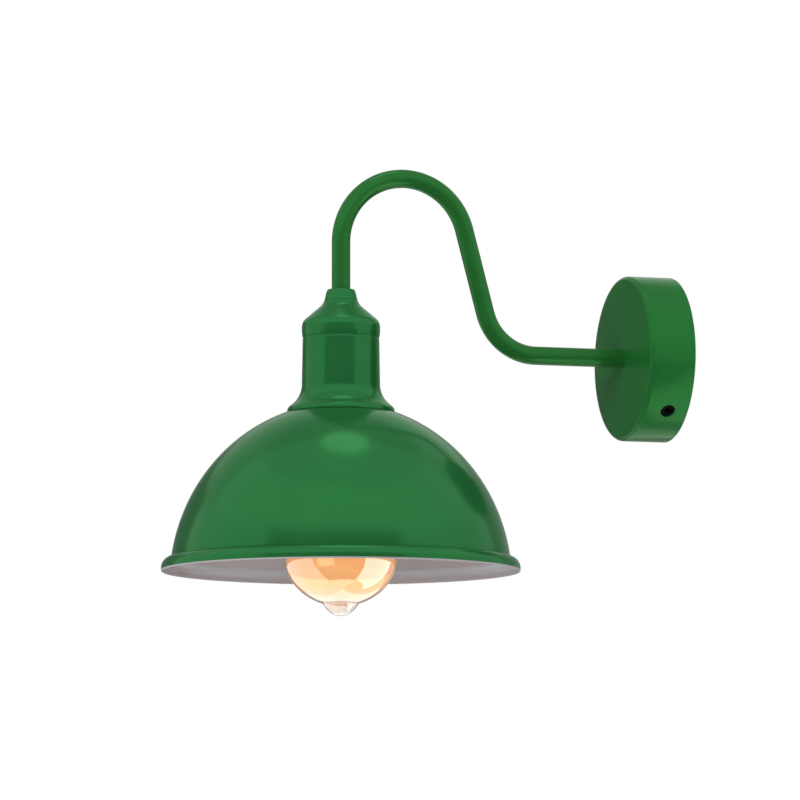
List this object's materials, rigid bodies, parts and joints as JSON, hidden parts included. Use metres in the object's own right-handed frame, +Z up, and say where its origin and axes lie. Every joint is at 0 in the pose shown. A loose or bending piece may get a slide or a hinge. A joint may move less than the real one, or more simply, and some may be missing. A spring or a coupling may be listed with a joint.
{
  "type": "gooseneck wall sconce",
  "caption": "Wall light with a round canopy, a gooseneck tube arm, a domed metal shade with a flared rim, and a teardrop filament bulb that screws out.",
  "frame": {"origin": "centre of the wall plate's back face, on the wall, midway between the two wall screw slots", "axes": "+Z up; -Y out of the wall, towards the shade, whose axis is vertical at Y = -0.204 m; +X to the right as seen by someone who looks at the wall"},
  "size_m": [0.2104, 0.3092, 0.2644],
  "materials": {
    "green_enamel": "gloss green stoving enamel, smooth, with a soft orange peel",
    "green_enamel_arm": "gloss green stoving enamel on drawn tube",
    "zinc_plated_steel": "bright zinc plate on pressed steel",
    "black_oxide_steel": "black oxide on machined steel, slightly oily",
    "zinc_plated_fixings": "bright zinc plate on steel nuts, washers and screws",
    "brass": "turned and pressed brass, lightly dulled",
    "spring_bronze": "rolled phosphor bronze strip",
    "white_nylon": "moulded polyamide, matt",
    "black_phenolic": "compression-moulded phenolic, semi-gloss",
    "white_ceramic": "glazed steatite",
    "cable_sheath": "white PVC sheath",
    "live_insulation": "brown PVC core insulation",
    "neutral_insulation": "blue PVC core insulation",
    "earth_insulation": "green and yellow PVC core insulation",
    "amber_glass": "blown soda glass with an amber tint",
    "clear_glass": "clear lead-free glass tube and rod",
    "brass_cap": "pressed brass bulb cap",
    "black_glass": "black vitrite insulator",
    "solder": "tinned solder",
    "support_wire": "drawn nickel and molybdenum wire",
    "tungsten": "coiled tungsten, cold"
  },
  "bodies": {
    "fixture": {"wall_plate": "zinc_plated_steel", "canopy": "green_enamel", "retaining_screws": "black_oxide_steel", "terminal_block": "white_nylon", "terminal_clamps": "brass", "terminal_screws": "zinc_plated_fixings", "block_screw": "zinc_plated_fixings", "earth_washer": "brass", "earth_screw": "brass", "arm_tube": "green_enamel_arm", "arm_washer": "zinc_plated_fixings", "arm_nut": "zinc_plated_fixings", "cable_bushes": "white_nylon", "lamp_cable": "cable_sheath", "live_core": "live_insulation", "neutral_core": "neutral_insulation", "earth_link": "earth_insulation", "neck_bush": "green_enamel", "holder_cap": "green_enamel", "cap_washer": "zinc_plated_fixings", "cap_nut": "zinc_plated_fixings", "holder_sleeve": "green_enamel", "lampholder_cover": "black_phenolic", "holder_grub_screw": "zinc_plated_fixings", "lampholder_insert": "white_ceramic", "terminal_plates": "brass", "plate_screws": "zinc_plated_fixings", "contact_rivets": "brass", "holder_live_core": "live_insulation", "holder_neutral_core": "neutral_insulation", "centre_contact": "spring_bronze", "screw_socket": "brass", "lampholder_skirt": "black_phenolic", "shade": "green_enamel", "shade_ring": "black_phenolic"},
    "bulb_tip": {"bulb_contact": "solder"},
    "bulb": {"bulb_cap": "brass_cap", "bulb_insulator": "black_glass", "bulb_glass": "amber_glass", "bulb_stem": "clear_glass", "filament_supports": "support_wire", "filament": "tungsten"}
  },
  "joints": [
    {"name": "bulb_travel", "type": "slide", "parent": "fixture", "child": "bulb_tip", "axis": [0, 0, -1], "range_m": [0, 0.0182]},
    {"name": "bulb_turn", "type": "hinge", "parent": "bulb_tip", "child": "bulb", "pos_m": [0, -0.204, -0.03], "axis": [0, 0, -1], "range_deg": [0, 1800]}
  ],
  "couplings": [
    {"joint": "bulb_travel", "follows": "bulb_turn", "m_per_rad": 0.00057757}
  ]
}
